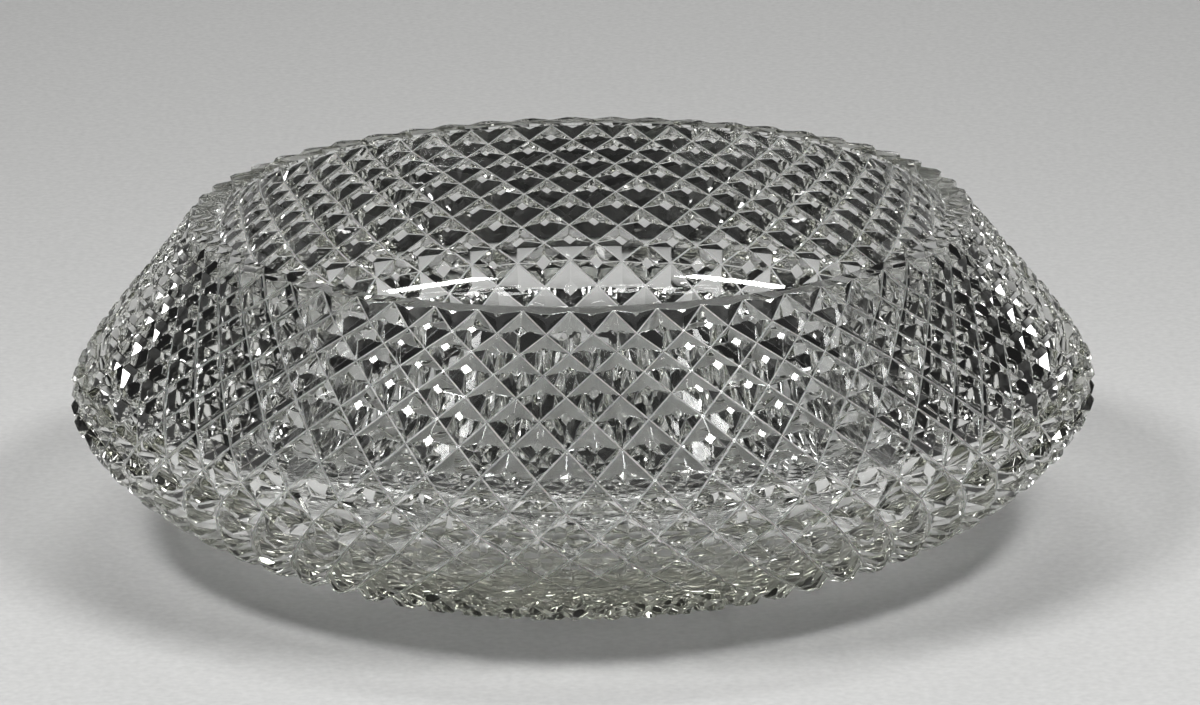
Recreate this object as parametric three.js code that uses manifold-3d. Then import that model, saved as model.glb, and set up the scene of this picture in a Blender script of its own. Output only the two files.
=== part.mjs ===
// A cut-crystal centrepiece bowl: wide and low, with a sloping shoulder, a rounded belly and a broad flat base.
// Two families of slanting V grooves cover the outside and leave rows of diamonds with small flat tops.
// Millimetres, +Z up. The origin is the middle of the base, on the surface that the bowl stands on.

import * as THREE from "three";
import { mergeVertices } from "three/addons/utils/BufferGeometryUtils.js";
import Module from "manifold-3d";

// Outside, measured over the tops of the diamonds
const HEIGHT = 101;
const RIM_DIAMETER = 243;
const BELLY_DIAMETER = 320;
const BELLY_HEIGHT = 46;
const BASE_DIAMETER = 201;

// How the outside bends: slopes in degrees below or above level, and the reach of each curve's end tangents
const SHOULDER_SLOPE = 54;
const SHOULDER_REACH = 32;
const BELLY_REACH_UP = 12;
const BELLY_REACH_DOWN = 7.5;
const UNDERSIDE_SLOPE = 18.5;
const UNDERSIDE_REACH = 46;

// Inside, smooth
const RIM_WIDTH = 8.5;
const RIM_EDGE_BREAK = 0.8;
const BELLY_WALL = 12;
const FLOOR_THICKNESS = 15;
const FLOOR_DIAMETER = 120;
const INSIDE_BELLY_HEIGHT = 50;
const INSIDE_SHOULDER_SLOPE = 57;
const INSIDE_SHOULDER_REACH = 34;
const INSIDE_BELLY_REACH_UP = 6;
const INSIDE_BELLY_REACH_DOWN = 20;
const INSIDE_FLOOR_REACH = 48;

// Cutting: grooves in each slanting family, levels from rim to base at which they cross, the wheel's V angle,
// the flat top's share of a diamond, and how tall diamonds are at the rim and the base next to those at the belly
const GROOVE_COUNT = 56;
const CROSSING_LEVELS = 17;
const GROOVE_ANGLE = 104;
const FLAT_TOP_SHARE = 0.24;
const RIM_ROW_SHARE = 0.62;
const BASE_ROW_SHARE = 1;

// Facets of the smooth inside, points that measure the outside's length, and how near points are one point
const INSIDE_SIDES = 60;
const INSIDE_STEPS = 6;
const MEASURING_POINTS = 400;
const SAME_POINT = 1e-4;

const rimRadius = RIM_DIAMETER / 2;
const bellyRadius = BELLY_DIAMETER / 2;
const baseRadius = BASE_DIAMETER / 2;
const mouthRadius = rimRadius - RIM_WIDTH;
const rad = THREE.MathUtils.degToRad;

const wasm = await Module();
wasm.setup();

// A closed geometry as a solid for cutting, with its seams and poles merged.
function toSolid(geometry) {
  const bare = new THREE.BufferGeometry();
  bare.setAttribute("position", geometry.getAttribute("position"));
  bare.setIndex(geometry.getIndex());
  const merged = mergeVertices(bare, SAME_POINT);
  const corners = merged.getIndex().array;
  const kept = [];
  for (let c = 0; c < corners.length; c += 3) {
    const [a, b, d] = corners.slice(c, c + 3);
    if (a !== b && b !== d && d !== a) kept.push(a, b, d);
  }
  const vertProperties = new Float32Array(merged.getAttribute("position").array);
  return new wasm.Manifold(new wasm.Mesh({ numProp: 3, vertProperties, triVerts: new Uint32Array(kept) }));
}

// A cut solid back as a geometry.
function toGeometry(solid) {
  const mesh = solid.getMesh();
  const geometry = new THREE.BufferGeometry();
  geometry.setAttribute("position", new THREE.BufferAttribute(mesh.vertProperties, 3));
  geometry.setIndex(new THREE.BufferAttribute(mesh.triVerts, 1));
  geometry.computeVertexNormals();
  return geometry;
}

// The outside over the diamonds, as radius and height, from the rim to the base.
function outsideProfile() {
  const rim = new THREE.Vector2(rimRadius, HEIGHT);
  const base = new THREE.Vector2(baseRadius, 0);
  const shoulder = new THREE.Vector2(Math.cos(rad(SHOULDER_SLOPE)), -Math.sin(rad(SHOULDER_SLOPE)));
  const underside = new THREE.Vector2(Math.cos(rad(UNDERSIDE_SLOPE)), Math.sin(rad(UNDERSIDE_SLOPE)));
  const rimHandle = rim.clone().addScaledVector(shoulder, SHOULDER_REACH);
  const baseHandle = base.clone().addScaledVector(underside, UNDERSIDE_REACH);

  const path = new THREE.Path();
  path.moveTo(rim.x, rim.y);
  path.bezierCurveTo(
    rimHandle.x, rimHandle.y, bellyRadius, BELLY_HEIGHT + BELLY_REACH_UP, bellyRadius, BELLY_HEIGHT,
  );
  path.bezierCurveTo(
    bellyRadius, BELLY_HEIGHT - BELLY_REACH_DOWN, baseHandle.x, baseHandle.y, base.x, base.y,
  );
  return path;
}

// Half the width of a diamond, around the bowl, at a point of the outside.
const halfAcross = (point) => (Math.PI * point.x) / GROOVE_COUNT;

// How tall a diamond is for its width at a point, next to one at the belly.
function rowShare(point) {
  const [endRadius, endShare] = point.y > BELLY_HEIGHT ? [rimRadius, RIM_ROW_SHARE] : [baseRadius, BASE_ROW_SHARE];
  return THREE.MathUtils.mapLinear(point.x, endRadius, bellyRadius, endShare, 1);
}

// The levels where grooves cross, from the rim to the base, spaced to the diamonds' heights.
// Each has its point on the outside, its direction down the wall, half the size of a diamond there,
// and the bottom of its grooves, which go as deep as their V takes to leave the flat tops.
function crossingLevels() {
  const path = outsideProfile();
  const length = path.getLength();
  const places = Array.from({ length: MEASURING_POINTS + 1 }, (_, k) => k / MEASURING_POINTS);
  const rowsTo = [0];
  for (const place of places.slice(1)) {
    const point = path.getPoint(place - 0.5 / MEASURING_POINTS);
    const stretch = length / MEASURING_POINTS / (halfAcross(point) * rowShare(point));
    rowsTo.push(rowsTo.at(-1) + stretch);
  }
  const tallness = rowsTo.at(-1) / CROSSING_LEVELS;

  return Array.from({ length: CROSSING_LEVELS + 1 }, (_, level) => {
    const rows = Math.min(level * tallness, rowsTo.at(-1));
    const after = Math.max(1, rowsTo.findIndex((count) => count >= rows));
    const share = THREE.MathUtils.inverseLerp(rowsTo[after - 1], rowsTo[after], rows);
    const place = THREE.MathUtils.lerp(places[after - 1], places[after], share);
    const point = path.getPoint(place);
    const down = path.getTangent(place);
    const out = new THREE.Vector2(-down.y, down.x);
    const across = halfAcross(point);
    const along = across * rowShare(point) * tallness;
    const middleToSide = (across * along) / Math.hypot(across, along);
    const depth = (middleToSide * (1 - FLAT_TOP_SHARE)) / Math.tan(rad(GROOVE_ANGLE / 2));
    const ground = level === 0 || level === CROSSING_LEVELS;
    const bottom = ground
      ? new THREE.Vector2(point.x - depth / out.x, point.y)
      : point.clone().addScaledVector(out, -depth);
    return { point, down, across, along, bottom };
  });
}

// The cut outside as one closed geometry, flat across the rim and the base.
// Grooves cross at whole steps on even levels and at half steps on odd ones, and diamonds sit between the
// crossings. The rim and the base are ground through the middles of their diamonds.
function cutOutside() {
  const levels = crossingLevels();
  const positions = [];
  const triangles = [];
  const step = (2 * Math.PI) / GROOVE_COUNT;
  const add = (radius, angle, height) => {
    positions.push(radius * Math.cos(angle), radius * Math.sin(angle), height);
    return positions.length / 3 - 1;
  };
  const quad = (a, b, c, d) => triangles.push(a, b, c, a, c, d);

  const crossings = levels.map(({ bottom }, level) =>
    Array.from({ length: GROOVE_COUNT }, (_, i) => add(bottom.x, (i + (level % 2) / 2) * step, bottom.y)),
  );
  const crossing = (level, i) => crossings[level][(i + GROOVE_COUNT) % GROOVE_COUNT];
  const rimMiddle = add(0, 0, HEIGHT);
  const baseMiddle = add(0, 0, 0);

  const addDiamond = (level, i) => {
    const { point, down, along, across } = levels[level];
    const shift = 1 - (level % 2);
    const middle = (i + shift / 2) * step;
    const flat = (downShare, asideShare) => {
      const place = point.clone().addScaledVector(down, downShare * FLAT_TOP_SHARE * along);
      const aside = asideShare * FLAT_TOP_SHARE * across;
      return add(Math.hypot(place.x, aside), middle + Math.atan2(aside, place.x), place.y);
    };
    const [left, right] = [flat(0, -1), flat(0, 1)];
    const [before, after] = [crossing(level, i + shift - 1), crossing(level, i + shift)];
    if (level > 0) {
      const top = flat(-1, 0);
      const over = crossing(level - 1, i);
      triangles.push(top, left, right);
      quad(over, before, left, top);
      quad(after, over, top, right);
    } else {
      quad(rimMiddle, before, left, right);
      triangles.push(rimMiddle, right, after);
    }
    if (level < CROSSING_LEVELS) {
      const bottom = flat(1, 0);
      const under = crossing(level + 1, i);
      triangles.push(bottom, right, left);
      quad(before, under, bottom, left);
      quad(under, after, right, bottom);
    } else {
      quad(baseMiddle, right, left, before);
      triangles.push(baseMiddle, after, right);
    }
  };
  for (let level = 0; level <= CROSSING_LEVELS; level += 1) {
    for (let i = 0; i < GROOVE_COUNT; i += 1) addDiamond(level, i);
  }

  const geometry = new THREE.BufferGeometry();
  geometry.setAttribute("position", new THREE.Float32BufferAttribute(positions, 3));
  geometry.setIndex(triangles);
  return geometry;
}

// The smooth inside, from the floor up through the mouth and past the rim.
function hollow() {
  const slope = new THREE.Vector2(Math.cos(rad(INSIDE_SHOULDER_SLOPE)), -Math.sin(rad(INSIDE_SHOULDER_SLOPE)));
  const insideRadius = bellyRadius - BELLY_WALL;
  const floorRadius = FLOOR_DIAMETER / 2;
  const mouth = new THREE.Vector2(mouthRadius, HEIGHT - RIM_EDGE_BREAK);
  const mouthHandle = mouth.clone().addScaledVector(slope, INSIDE_SHOULDER_REACH);
  const above = HEIGHT + RIM_WIDTH;

  const lowerWall = new THREE.CubicBezierCurve(
    new THREE.Vector2(floorRadius, FLOOR_THICKNESS),
    new THREE.Vector2(floorRadius + INSIDE_FLOOR_REACH, FLOOR_THICKNESS),
    new THREE.Vector2(insideRadius, INSIDE_BELLY_HEIGHT - INSIDE_BELLY_REACH_DOWN),
    new THREE.Vector2(insideRadius, INSIDE_BELLY_HEIGHT),
  );
  const upperWall = new THREE.CubicBezierCurve(
    new THREE.Vector2(insideRadius, INSIDE_BELLY_HEIGHT),
    new THREE.Vector2(insideRadius, INSIDE_BELLY_HEIGHT + INSIDE_BELLY_REACH_UP),
    mouthHandle,
    mouth,
  );
  const edge = mouthRadius + RIM_EDGE_BREAK;
  const points = [
    new THREE.Vector2(0, FLOOR_THICKNESS),
    ...lowerWall.getSpacedPoints(INSIDE_STEPS),
    ...upperWall.getSpacedPoints(INSIDE_STEPS).slice(1),
    new THREE.Vector2(edge, HEIGHT),
    new THREE.Vector2(edge, above),
    new THREE.Vector2(0, above),
  ];
  return new THREE.LatheGeometry(points, INSIDE_SIDES).rotateX(Math.PI / 2);
}

// The bowl: the cut outside with the inside hollowed out.
function bowl() {
  const body = toSolid(cutOutside()).subtract(toSolid(hollow()));
  const crystal = new THREE.MeshStandardMaterial({ color: 0xe6e9e6, roughness: 0.03, metalness: 0 });
  crystal.transparent = true;
  crystal.opacity = 0.35;
  const mesh = new THREE.Mesh(toGeometry(body), crystal);
  mesh.name = "bowl";
  return mesh;
}

const centerpieceBowl = new THREE.Group();
centerpieceBowl.add(bowl());

export default centerpieceBowl;
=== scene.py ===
"""A cut-crystal centrepiece bowl: its cut and polished surface, its glass, a plain studio and the camera."""

import logging
import math
import random
from bisect import bisect_left
from dataclasses import dataclass, field
from enum import Enum

import bmesh
import bpy
from mathutils import Matrix, Vector
from mathutils.geometry import interpolate_bezier

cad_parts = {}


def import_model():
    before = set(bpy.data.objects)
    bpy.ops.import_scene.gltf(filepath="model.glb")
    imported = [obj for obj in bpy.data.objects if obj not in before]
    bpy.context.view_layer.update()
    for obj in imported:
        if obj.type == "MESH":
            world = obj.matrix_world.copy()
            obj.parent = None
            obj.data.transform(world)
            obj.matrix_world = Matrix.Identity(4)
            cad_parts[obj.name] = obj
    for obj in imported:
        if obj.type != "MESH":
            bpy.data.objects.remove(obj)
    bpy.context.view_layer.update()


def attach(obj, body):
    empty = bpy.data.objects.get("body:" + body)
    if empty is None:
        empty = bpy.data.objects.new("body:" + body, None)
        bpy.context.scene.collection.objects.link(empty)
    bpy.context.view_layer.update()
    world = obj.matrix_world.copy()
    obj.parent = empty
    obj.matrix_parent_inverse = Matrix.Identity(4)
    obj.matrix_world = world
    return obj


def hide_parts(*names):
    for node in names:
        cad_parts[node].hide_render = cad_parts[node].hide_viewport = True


LOG = logging.getLogger("bowl")
# Points nearer than this are one point, in metres or in half diamonds.
SAME_POINT = 1e-6
# The face mark that is 1 on ground glass and 0 on polished glass.
GROUND = "ground"
# The edge mark that the rounding reads as a share of its full reach.
ROUND_SHARE = "bevel_weight_edge"
# Half diamonds and rows that are cut past each side of the panel and trimmed off.
SPARE = 2
WHITE = (1.0, 1.0, 1.0, 1.0)


class Edge(Enum):
    """Edges of the glass that the polishing rounds, each with the reach of its round, in metres."""

    ARRIS = 0.00012
    LIP = 0.00080


def slope_vector(degrees: float, reach: float) -> Vector:
    """Gives a step outwards along a slope, with radius along X and height along Z.

    Args:
        degrees: The slope over level, negative where it falls.
        reach: The length of the step.

    Returns:
        The step.
    """
    angle = math.radians(degrees)
    return Vector((math.cos(angle), 0.0, math.sin(angle))) * reach


@dataclass(frozen=True)
class Outside:
    """The outside over the tops of the diamonds, from the rim over the belly to the base."""

    height: float = 0.101
    rim_radius: float = 0.1215
    belly_radius: float = 0.160
    belly_height: float = 0.046
    base_radius: float = 0.1005
    shoulder_slope: float = 54.0
    shoulder_reach: float = 0.032
    belly_reach_up: float = 0.012
    belly_reach_down: float = 0.0075
    underside_slope: float = 18.5
    underside_reach: float = 0.046
    points_per_curve: int = 240

    def points(self) -> list[Vector]:
        """Gives the profile's points, with radius along X and height along Z."""
        rim = Vector((self.rim_radius, 0.0, self.height))
        belly = Vector((self.belly_radius, 0.0, self.belly_height))
        base = Vector((self.base_radius, 0.0, 0.0))
        shoulder = interpolate_bezier(
            rim,
            rim + slope_vector(-self.shoulder_slope, self.shoulder_reach),
            belly + Vector((0.0, 0.0, self.belly_reach_up)),
            belly,
            self.points_per_curve,
        )
        underside = interpolate_bezier(
            belly,
            belly - Vector((0.0, 0.0, self.belly_reach_down)),
            base + slope_vector(self.underside_slope, self.underside_reach),
            base,
            self.points_per_curve,
        )
        return shoulder + underside[1:]


@dataclass(frozen=True)
class Inside:
    """The smooth inside, from the mouth over the widest place to the flat floor."""

    rim_width: float = 0.0085
    edge_break: float = 0.0008
    belly_wall: float = 0.012
    floor_thickness: float = 0.015
    floor_radius: float = 0.060
    belly_height: float = 0.050
    shoulder_slope: float = 57.0
    shoulder_reach: float = 0.034
    belly_reach_up: float = 0.006
    belly_reach_down: float = 0.020
    floor_reach: float = 0.048
    points_per_curve: int = 16
    floor_rings: int = 3

    def points(self, outside: Outside) -> list[Vector]:
        """Gives the profile's points from the rim's inner edge to the floor, short of its middle.

        Args:
            outside: The outside that the wall is measured from.

        Returns:
            The points, with radius along X and height along Z.
        """
        mouth = Vector((outside.rim_radius - self.rim_width, 0.0, outside.height - self.edge_break))
        widest = Vector((outside.belly_radius - self.belly_wall, 0.0, self.belly_height))
        floor = Vector((self.floor_radius, 0.0, self.floor_thickness))
        reach = self.edge_break / math.sin(math.radians(self.shoulder_slope))
        lip = mouth + slope_vector(180.0 - self.shoulder_slope, reach)
        shoulder = interpolate_bezier(
            mouth,
            mouth + slope_vector(-self.shoulder_slope, self.shoulder_reach),
            widest + Vector((0.0, 0.0, self.belly_reach_up)),
            widest,
            self.points_per_curve,
        )
        lower = interpolate_bezier(
            widest,
            widest - Vector((0.0, 0.0, self.belly_reach_down)),
            floor + Vector((self.floor_reach, 0.0, 0.0)),
            floor,
            self.points_per_curve,
        )
        shares = [1.0 - ring / self.floor_rings for ring in range(1, self.floor_rings)]
        flat = [Vector((floor.x * share, 0.0, floor.z)) for share in shares]
        return [lip] + shoulder[1:] + lower[1:] + flat


@dataclass(frozen=True)
class Cutting:
    """Two families of slanting V grooves, and the diamonds that they leave."""

    grooves: int = 56
    rows: int = 17
    groove_angle: float = 104.0
    flat_share: float = 0.24
    rim_row_share: float = 0.62
    base_row_share: float = 1.0
    groove_strip: float = 0.066
    arris_strip: float = 0.026
    wander: float = 0.06
    seed: int = 7

    @property
    def columns(self) -> int:
        """Half diamonds around the bowl."""
        return 2 * self.grooves

    def strays(self) -> list[list[float]]:
        """How far each groove of either family strays from its place, as the hand guides it."""
        hand = random.Random(self.seed)
        return [[hand.uniform(-self.wander, self.wander) for _ in range(self.grooves)] for _ in range(2)]

    def stray(self, across: float, strays: list[float]) -> float:
        """Finds how far a point moves with its groove, or between two grooves on a flat top.

        Args:
            across: The point's place across one family, in grooves.
            strays: How far each groove of the family strays.

        Returns:
            The move, in grooves.
        """
        groove = math.floor(across)
        facet = (1.0 - self.flat_share) / 2
        share = (across - groove - facet) / self.flat_share
        before, after = strays[groove % self.grooves], strays[(groove + 1) % self.grooves]
        return before + (after - before) * min(max(share, 0.0), 1.0)


class CutWall:
    """The outside wall measured in rows of diamonds, with the grooves' depth and direction at each place."""

    def __init__(self, outside: Outside, cutting: Cutting) -> None:
        """Measures the wall from the rim to the base.

        Args:
            outside: The outside over the diamonds.
            cutting: The grooves.
        """
        self.outside = outside
        self.cutting = cutting
        self.points = outside.points()
        self.rows_to = [0.0]
        for start, end in zip(self.points, self.points[1:]):
            middle = (start + end) / 2
            row = self.half_across(middle) * self.row_share(middle)
            self.rows_to.append(self.rows_to[-1] + (end - start).length / row)
        self.tallness = self.rows_to[-1] / cutting.rows

    def half_across(self, point: Vector) -> float:
        """Half the width of a diamond around the bowl."""
        return math.pi * point.x / self.cutting.grooves

    def row_share(self, point: Vector) -> float:
        """How tall a diamond is for its width, next to one at the belly."""
        outside, cutting = self.outside, self.cutting
        if point.z > outside.belly_height:
            end_radius, end_share = outside.rim_radius, cutting.rim_row_share
        else:
            end_radius, end_share = outside.base_radius, cutting.base_row_share
        share = (point.x - end_radius) / (outside.belly_radius - end_radius)
        return end_share + (1.0 - end_share) * share

    def depth(self, point: Vector) -> float:
        """How deep a groove goes for its V to leave the flat tops."""
        across = self.half_across(point)
        along = across * self.row_share(point) * self.tallness
        middle_to_side = across * along / math.hypot(across, along)
        width_for_depth = math.tan(math.radians(self.cutting.groove_angle / 2))
        return middle_to_side * (1.0 - self.cutting.flat_share) / width_for_depth

    def place(self, column: float, level: float, height: float) -> Vector:
        """Bends a point of the flat, cut panel round the bowl.

        Args:
            column: Half diamonds round the bowl.
            level: Rows of diamonds down from the rim.
            height: How far the point stands over the flat tops, in groove depths.

        Returns:
            The point on the bowl.
        """
        rows = level * self.tallness
        last = len(self.points) - 1
        after = min(max(1, bisect_left(self.rows_to, rows)), last)
        before = after - 1
        share = (rows - self.rows_to[before]) / (self.rows_to[after] - self.rows_to[before])
        point = self.points[before].lerp(self.points[after], share)
        down = (self.points[min(after + 1, last)] - self.points[max(before - 1, 0)]).normalized()
        out = Vector((-down.z, 0.0, down.x))
        nearness = max(0.0, 1.0 - min(level, self.cutting.rows - level))
        direction = out.lerp(Vector((1.0 / out.x, 0.0, 0.0)), nearness)
        cut = point + direction * (height * self.depth(point))
        return Matrix.Rotation(math.pi * column / self.cutting.grooves, 4, "Z") @ cut


@dataclass(frozen=True)
class Crystal:
    """Clear lead crystal, cut and polished, with a faint tint in thick places."""

    name: str = "crystal"
    tint: tuple[float, float, float, float] = (0.986, 0.990, 0.987, 1.0)
    refraction: float = 1.545
    polish: tuple[float, float] = (0.006, 0.018)
    polish_scale: float = 60.0
    ground_roughness: float = 0.45
    depth_tint: tuple[float, float, float, float] = (0.53, 0.54, 0.42, 1.0)
    depth_density: float = 4.5

    def material(self) -> bpy.types.Material:
        """Makes the glass: smooth and clear, with small changes in its polish."""
        material = bpy.data.materials.new(self.name)
        material.use_nodes = True
        nodes, links = material.node_tree.nodes, material.node_tree.links
        shader = nodes["Principled BSDF"]
        shader.inputs["Base Color"].default_value = self.tint
        shader.inputs["IOR"].default_value = self.refraction
        shader.inputs["Transmission Weight"].default_value = 1.0
        place = nodes.new("ShaderNodeTexCoord")
        smears = nodes.new("ShaderNodeTexNoise")
        smears.inputs["Scale"].default_value = self.polish_scale
        spread = nodes.new("ShaderNodeMapRange")
        spread.inputs["To Min"].default_value, spread.inputs["To Max"].default_value = self.polish
        ground = nodes.new("ShaderNodeAttribute")
        ground.attribute_name = GROUND
        rough = nodes.new("ShaderNodeMath")
        rough.operation = "MULTIPLY_ADD"
        rough.inputs[1].default_value = self.ground_roughness
        depth = nodes.new("ShaderNodeVolumeAbsorption")
        depth.inputs["Color"].default_value = self.depth_tint
        depth.inputs["Density"].default_value = self.depth_density
        links.new(place.outputs["Object"], smears.inputs["Vector"])
        links.new(smears.outputs["Fac"], spread.inputs["Value"])
        links.new(ground.outputs["Fac"], rough.inputs[0])
        links.new(spread.outputs["Result"], rough.inputs[2])
        links.new(rough.outputs["Value"], shader.inputs["Roughness"])
        links.new(depth.outputs["Volume"], nodes["Material Output"].inputs["Volume"])
        return material


@dataclass
class CutBowl:
    """The bowl: one thick-walled piece of crystal with a cut outside and a smooth inside."""

    outside: Outside = field(default_factory=Outside)
    inside: Inside = field(default_factory=Inside)
    cutting: Cutting = field(default_factory=Cutting)
    finish: Crystal = field(default_factory=Crystal)
    base_rings: tuple[float, ...] = (0.085, 0.050, 0.020)
    sharp_angle: float = 15.0

    def build(self) -> bpy.types.Object:
        """Builds the bowl where the CAD model has it.

        Returns:
            The bowl, riding on its body and standing for its node.
        """
        bm = bmesh.new()
        self.cut_panel(bm)
        self.grind_grooves(bm)
        self.ease_arrises(bm)
        self.trim_panel(bm)
        self.bend_round(bm)
        self.turn_inside(bm)
        self.grind_base(bm)
        bmesh.ops.recalc_face_normals(bm, faces=bm.faces)
        self.weigh_edges(bm)
        for face in bm.faces:
            face.smooth = True
        mesh = bpy.data.meshes.new("cut_bowl")
        bm.to_mesh(mesh)
        bm.free()
        bowl = bpy.data.objects.new("cut_bowl", mesh)
        bpy.context.scene.collection.objects.link(bowl)
        mesh.materials.append(self.finish.material())
        self.polish_edges(bowl)
        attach(bowl, "root")
        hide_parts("bowl")
        return bowl

    def cut_panel(self, bm: bmesh.types.BMesh) -> None:
        """Cuts the grooves across a flat panel: X in half diamonds, Y in rows, Z in groove depths."""
        cutting = self.cutting
        across, down = cutting.columns + 2 * SPARE, cutting.rows + 2 * SPARE
        bmesh.ops.create_grid(bm, x_segments=across, y_segments=down, size=1.0)
        bmesh.ops.scale(bm, vec=(across / 2, down / 2, 1.0), verts=bm.verts)
        bmesh.ops.translate(bm, vec=(cutting.columns / 2, cutting.rows / 2, 0.0), verts=bm.verts)
        crossings = [vert for vert in bm.verts if round(vert.co.x + vert.co.y) % 2 == 0]
        middles = [vert for vert in bm.verts if round(vert.co.x + vert.co.y) % 2 == 1]
        peak = cutting.flat_share / (1.0 - cutting.flat_share)
        bmesh.ops.translate(bm, vec=(0.0, 0.0, -1.0), verts=crossings)
        bmesh.ops.translate(bm, vec=(0.0, 0.0, peak), verts=middles)
        bmesh.ops.connect_verts(bm, verts=crossings)
        bmesh.ops.bevel(
            bm,
            geom=middles,
            offset=100.0 * cutting.flat_share,
            offset_type="PERCENT",
            affect="VERTICES",
            segments=1,
            profile=0.5,
            material=-1,
        )

    def grind_grooves(self, bm: bmesh.types.BMesh) -> None:
        """Leaves a narrow, ground strip along the bottom of each groove."""
        bottoms = [edge for edge in bm.edges if all(vert.co.z < SAME_POINT - 1.0 for vert in edge.verts)]
        self.take_down(bm, bottoms, self.cutting.groove_strip, 1.0)

    def ease_arrises(self, bm: bmesh.types.BMesh) -> None:
        """Takes the sharpness off the ridges of the diamonds and the edges of their flat tops."""
        arrises = [edge for edge in bm.edges if any(vert.co.z > -SAME_POINT for vert in edge.verts)]
        self.take_down(bm, arrises, self.cutting.arris_strip, 0.0)

    def take_down(
        self, bm: bmesh.types.BMesh, edges: list[bmesh.types.BMEdge], reach: float, ground: float
    ) -> None:
        """Takes edges of the cutting down to narrow strips.

        Args:
            bm: The mesh.
            edges: The edges.
            reach: How far the strip reaches to either side, in half diamonds.
            ground: 1 where the strip is left ground, or 0 where it is polished.
        """
        marks = bm.faces.layers.float
        mark = marks.get(GROUND) or marks.new(GROUND)
        made = bmesh.ops.bevel(
            bm,
            geom=edges,
            offset=reach,
            offset_type="OFFSET",
            affect="EDGES",
            segments=1,
            profile=0.5,
            material=-1,
        )
        for face in made["faces"]:
            face[mark] = ground
            for edge in face.edges:
                edge.smooth = False

    def trim_panel(self, bm: bmesh.types.BMesh) -> None:
        """Trims the panel to its seam, the rim and the base."""
        far = Vector((self.cutting.columns, self.cutting.rows, 0.0))
        for corner, side in ((Vector(), -1.0), (far, 1.0)):
            for away in (Vector((side, 0.0, 0.0)), Vector((0.0, side, 0.0))):
                bmesh.ops.bisect_plane(
                    bm,
                    geom=[*bm.verts, *bm.edges, *bm.faces],
                    dist=SAME_POINT,
                    plane_co=corner,
                    plane_no=away,
                    clear_outer=True,
                )

    def bend_round(self, bm: bmesh.types.BMesh) -> None:
        """Bends the cut panel round the bowl and closes its seam."""
        wall = CutWall(self.outside, self.cutting)
        rising, falling = self.cutting.strays()
        for vert in bm.verts:
            column, level, height = vert.co
            rise = self.cutting.stray((column + level) / 2, rising)
            fall = self.cutting.stray((column - level) / 2, falling)
            inner = min(1.0, level, self.cutting.rows - level)
            vert.co = wall.place(column + rise + fall, level + (rise - fall) * inner, height)
        bmesh.ops.remove_doubles(bm, verts=bm.verts, dist=SAME_POINT)

    def open_edges(self, bm: bmesh.types.BMesh, height: float) -> list[bmesh.types.BMEdge]:
        """Finds the open edges at a height."""
        return [
            edge
            for edge in bm.edges
            if edge.is_boundary and all(abs(vert.co.z - height) < SAME_POINT for vert in edge.verts)
        ]

    def add_ring(
        self, bm: bmesh.types.BMesh, edges: list[bmesh.types.BMEdge], radius: float, height: float
    ) -> list[bmesh.types.BMEdge]:
        """Extrudes a ring of edges to the next ring of a turned surface.

        Args:
            bm: The mesh.
            edges: The ring to go on from.
            radius: The next ring's radius.
            height: The next ring's height.

        Returns:
            The next ring's edges.
        """
        mark = bm.faces.layers.float[GROUND]
        made = bmesh.ops.extrude_edge_only(bm, edges=edges)["geom"]
        for face in (item for item in made if isinstance(item, bmesh.types.BMFace)):
            face[mark] = 0.0
        for vert in (item for item in made if isinstance(item, bmesh.types.BMVert)):
            aside = vert.co.xy.normalized() * radius
            vert.co = (aside.x, aside.y, height)
        return [item for item in made if isinstance(item, bmesh.types.BMEdge)]

    def close_middle(self, bm: bmesh.types.BMesh, edges: list[bmesh.types.BMEdge], height: float) -> None:
        """Closes a ring to a point on the axis."""
        ring = self.add_ring(bm, edges, SAME_POINT, height)
        verts = list({vert for edge in ring for vert in edge.verts})
        bmesh.ops.pointmerge(bm, verts=verts, merge_co=(0.0, 0.0, height))

    def turn_inside(self, bm: bmesh.types.BMesh) -> None:
        """Adds the flat rim, the smooth inside and its floor."""
        edges = self.open_edges(bm, self.outside.height)
        for point in self.inside.points(self.outside):
            edges = self.add_ring(bm, edges, point.x, point.z)
        self.close_middle(bm, edges, self.inside.floor_thickness)

    def grind_base(self, bm: bmesh.types.BMesh) -> None:
        """Closes the ground, flat base."""
        edges = self.open_edges(bm, 0.0)
        for radius in self.base_rings:
            edges = self.add_ring(bm, edges, radius, 0.0)
        self.close_middle(bm, edges, 0.0)

    def is_edge(self, edge: bmesh.types.BMEdge) -> bool:
        """Tells a real edge of the glass from one between two faces of the same surface."""
        return edge.calc_face_angle(0.0) > math.radians(self.sharp_angle)

    def weigh_edges(self, bm: bmesh.types.BMesh) -> None:
        """Gives each real edge of the glass the reach of its round, as a share of the lip's."""
        marks = bm.edges.layers.float
        weights = marks.get(ROUND_SHARE) or marks.new(ROUND_SHARE)
        lip = self.inside.points(self.outside)[0]
        for edge in filter(self.is_edge, bm.edges):
            edge.smooth = False
            heights = [vert.co.z for vert in edge.verts]
            at_rim = min(heights) > self.outside.height - SAME_POINT
            at_base = max(heights) < SAME_POINT
            if at_rim or at_base:
                at_lip = at_rim and all(vert.co.xy.length < lip.x + SAME_POINT for vert in edge.verts)
                kind = Edge.LIP if at_lip else Edge.ARRIS
                edge[weights] = kind.value / Edge.LIP.value

    def polish_edges(self, bowl: bpy.types.Object) -> None:
        """Rounds the edges a little, and keeps the facets flat between them."""
        bevel = bowl.modifiers.new("polished_edges", "BEVEL")
        bevel.limit_method = "WEIGHT"
        bevel.width = Edge.LIP.value
        bevel.segments = 1
        bevel.use_clamp_overlap = False
        bevel.mark_sharp = True


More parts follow.
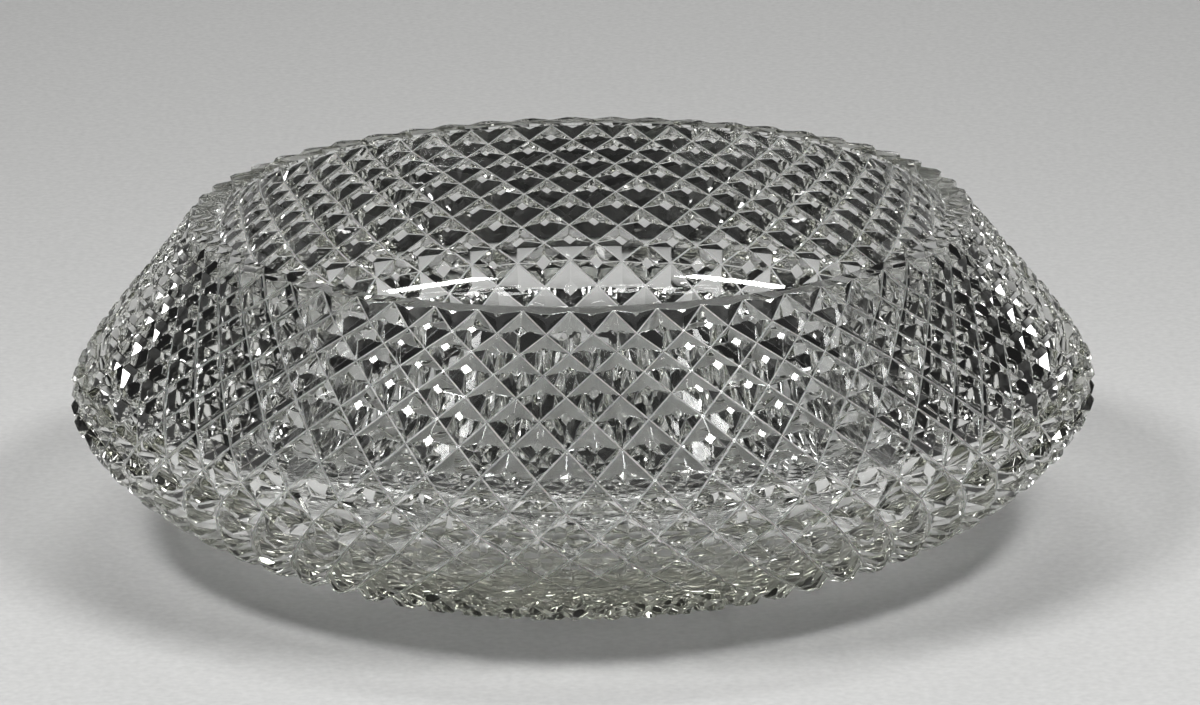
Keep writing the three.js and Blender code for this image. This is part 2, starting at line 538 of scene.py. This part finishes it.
@dataclass(frozen=True)
class MattPaint:
    """Pale, matt paint with a fine grain."""

    name: str = "pale_floor"
    darker: tuple[float, float, float, float] = (0.48, 0.48, 0.475, 1.0)
    paler: tuple[float, float, float, float] = (0.64, 0.64, 0.63, 1.0)
    grain_scale: float = 420.0
    grain_detail: float = 3.0
    roughness: float = 0.9
    shine: float = 0.1

    def material(self) -> bpy.types.Material:
        """Makes the paint, whose grain changes its colour a little."""
        material = bpy.data.materials.new(self.name)
        material.use_nodes = True
        nodes, links = material.node_tree.nodes, material.node_tree.links
        shader = nodes["Principled BSDF"]
        shader.inputs["Roughness"].default_value = self.roughness
        shader.inputs["Specular IOR Level"].default_value = self.shine
        place = nodes.new("ShaderNodeTexCoord")
        grain = nodes.new("ShaderNodeTexNoise")
        grain.inputs["Scale"].default_value = self.grain_scale
        grain.inputs["Detail"].default_value = self.grain_detail
        blend = nodes.new("ShaderNodeMix")
        blend.data_type = "RGBA"
        blend.inputs["A"].default_value = self.darker
        blend.inputs["B"].default_value = self.paler
        links.new(place.outputs["Object"], grain.inputs["Vector"])
        links.new(grain.outputs["Fac"], blend.inputs["Factor"])
        links.new(blend.outputs["Result"], shader.inputs["Base Color"])
        return material


@dataclass(frozen=True)
class PaleFloor:
    """A plain, pale, matt floor."""

    finish: MattPaint = field(default_factory=MattPaint)
    half_width: float = 12.0
    gap: float = 0.0004

    def build(self) -> bpy.types.Object:
        """Lays the floor just under the base."""
        bm = bmesh.new()
        bmesh.ops.create_grid(bm, x_segments=1, y_segments=1, size=self.half_width)
        bmesh.ops.translate(bm, vec=(0.0, 0.0, -self.gap), verts=bm.verts)
        mesh = bpy.data.meshes.new("floor")
        bm.to_mesh(mesh)
        bm.free()
        mesh.materials.append(self.finish.material())
        floor = bpy.data.objects.new("floor", mesh)
        bpy.context.scene.collection.objects.link(floor)
        return floor


@dataclass(frozen=True)
class Softbox:
    """A soft lamp that faces the bowl, placed by its bearing from the front and its angle over level."""

    name: str
    bearing: float
    elevation: float
    distance: float
    width: float
    height: float
    radiance: float
    aim_height: float = 0.05

    def build(self) -> None:
        """Hangs the lamp and turns it to the bowl."""
        light = bpy.data.lights.new(self.name, "AREA")
        light.shape = "RECTANGLE"
        light.size, light.size_y = self.width, self.height
        light.energy = self.radiance * math.pi * self.width * self.height
        lamp = bpy.data.objects.new(self.name, light)
        turn = Matrix.Rotation(math.radians(self.bearing), 4, "Z")
        tilt = Matrix.Rotation(math.radians(90.0 - self.elevation), 4, "X")
        away = Matrix.Translation((0.0, 0.0, self.distance))
        lamp.matrix_world = Matrix.Translation((0.0, 0.0, self.aim_height)) @ turn @ tilt @ away
        lamp.visible_camera = False
        bpy.context.scene.collection.objects.link(lamp)


@dataclass
class Studio:
    """A plain pale floor, a dim surround and soft strip lamps at both sides, above and behind."""

    floor: PaleFloor = field(default_factory=PaleFloor)
    surround: float = 0.012
    lamps: tuple[Softbox, ...] = (
        Softbox(
            "softbox_left", bearing=-52.0, elevation=52.0, distance=1.2, width=0.5, height=0.16, radiance=33.0
        ),
        Softbox(
            "softbox_right", bearing=52.0, elevation=52.0, distance=1.2, width=0.5, height=0.16, radiance=33.0
        ),
        Softbox(
            "softbox_top", bearing=180.0, elevation=74.0, distance=1.6, width=0.7, height=0.16, radiance=16.0
        ),
        Softbox(
            "softbox_back", bearing=180.0, elevation=30.0, distance=1.5, width=0.9, height=0.14, radiance=9.5
        ),
    )
    bounces: int = 24

    def build(self) -> None:
        """Sets up the floor, the surround and the lamps."""
        self.floor.build()
        world = bpy.data.worlds.new("surround")
        world.use_nodes = True
        background = world.node_tree.nodes["Background"]
        background.inputs["Color"].default_value = WHITE
        background.inputs["Strength"].default_value = self.surround
        bpy.context.scene.world = world
        for lamp in self.lamps:
            lamp.build()
        paths = bpy.context.scene.cycles
        paths.max_bounces = self.bounces
        paths.glossy_bounces = self.bounces
        paths.transmission_bounces = self.bounces


@dataclass(frozen=True)
class PhotoView:
    """The camera as it stood for the photograph: a long lens, a little above the bowl."""

    azimuth: float = 1.8
    elevation: float = 15.8
    roll: float = 0.86
    distance: float = 2.0
    lens: float = 192.0
    aim_height: float = 0.043
    aim_right: float = 0.0053
    aim_up: float = 0.0115

    def build(self) -> None:
        """Places the camera and makes it the scene's own."""
        camera = bpy.data.objects.new("camera", bpy.data.cameras.new("camera"))
        camera.data.lens = self.lens
        turn = Matrix.Rotation(math.radians(self.azimuth), 4, "Z")
        tilt = Matrix.Rotation(math.radians(90.0 - self.elevation), 4, "X")
        roll = Matrix.Rotation(math.radians(-self.roll), 4, "Z")
        offset = Matrix.Translation((self.aim_right, self.aim_up, self.distance))
        camera.matrix_world = Matrix.Translation((0.0, 0.0, self.aim_height)) @ turn @ tilt @ roll @ offset
        bpy.context.scene.collection.objects.link(camera)
        bpy.context.scene.camera = camera


def main() -> None:
    """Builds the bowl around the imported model, then the studio and the camera."""
    logging.basicConfig(level=logging.INFO, format="%(name)s: %(message)s")
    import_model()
    PhotoView().build()
    Studio().build()
    bowl = CutBowl().build()
    LOG.info("%s has %d faces before its edges are rounded", bowl.name, len(bowl.data.polygons))
    bpy.context.scene.view_settings.view_transform = "Standard"


if __name__ == "__main__":
    main()
